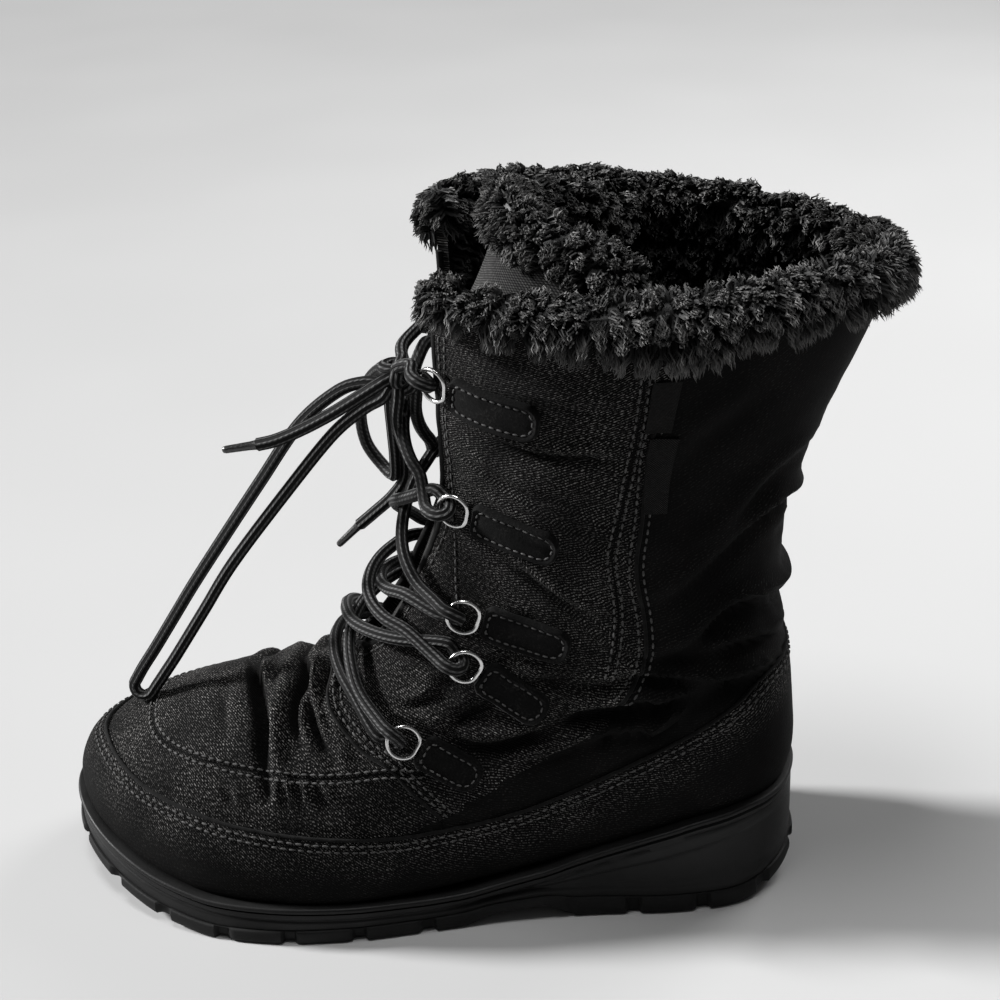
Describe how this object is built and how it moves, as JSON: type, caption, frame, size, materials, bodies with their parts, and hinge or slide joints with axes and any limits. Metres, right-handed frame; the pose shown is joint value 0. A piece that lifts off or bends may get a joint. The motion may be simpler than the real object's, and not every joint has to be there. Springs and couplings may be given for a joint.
{
  "type": "snow boot",
  "caption": "Mid-height winter boot with a pile collar and tongue, rubber shell sole, D-ring lacing and an undone knot.",
  "frame": {"origin": "where the heel rests on the ground, on the shoe's long axis", "axes": "toe towards -Y, outer side towards +X, up +Z"},
  "size_m": [0.1189, 0.3206, 0.2735],
  "materials": {
    "tread_rubber": "matt moulded rubber",
    "shell_rubber": "satin moulded rubber",
    "insole_fabric": "short felt",
    "upper_fabric": "brushed twill and nubuck panels",
    "pile": "deep pile",
    "ring_steel": "polished steel wire",
    "tab_leather": "soft matt leather",
    "lace_cord": "braided cord",
    "aglet_film": "shrunk film"
  },
  "bodies": {
    "root": {"outsole": "tread_rubber", "midsole": "shell_rubber", "insole": "insole_fabric", "upper": "upper_fabric", "tongue": "upper_fabric", "tongue_fur": "pile", "fur_collar": "pile", "ring_outer_1": "ring_steel", "ring_outer_2": "ring_steel", "ring_outer_3": "ring_steel", "ring_outer_4": "ring_steel", "ring_outer_5": "ring_steel", "ring_inner_1": "ring_steel", "ring_inner_2": "ring_steel", "ring_inner_3": "ring_steel", "ring_inner_4": "ring_steel", "ring_inner_5": "ring_steel", "tab_outer_1": "tab_leather", "tab_outer_2": "tab_leather", "tab_outer_3": "tab_leather", "tab_outer_4": "tab_leather", "tab_outer_5": "tab_leather", "tab_inner_1": "tab_leather", "tab_inner_2": "tab_leather", "tab_inner_3": "tab_leather", "tab_inner_4": "tab_leather", "tab_inner_5": "tab_leather", "lace_crossings": "lace_cord", "lace_knot": "lace_cord", "lace_loop_long": "lace_cord", "lace_loop_short": "lace_cord", "lace_end_front": "lace_cord", "lace_end_low": "lace_cord", "aglet_front": "aglet_film", "aglet_low": "aglet_film"}
  },
  "joints": []
}
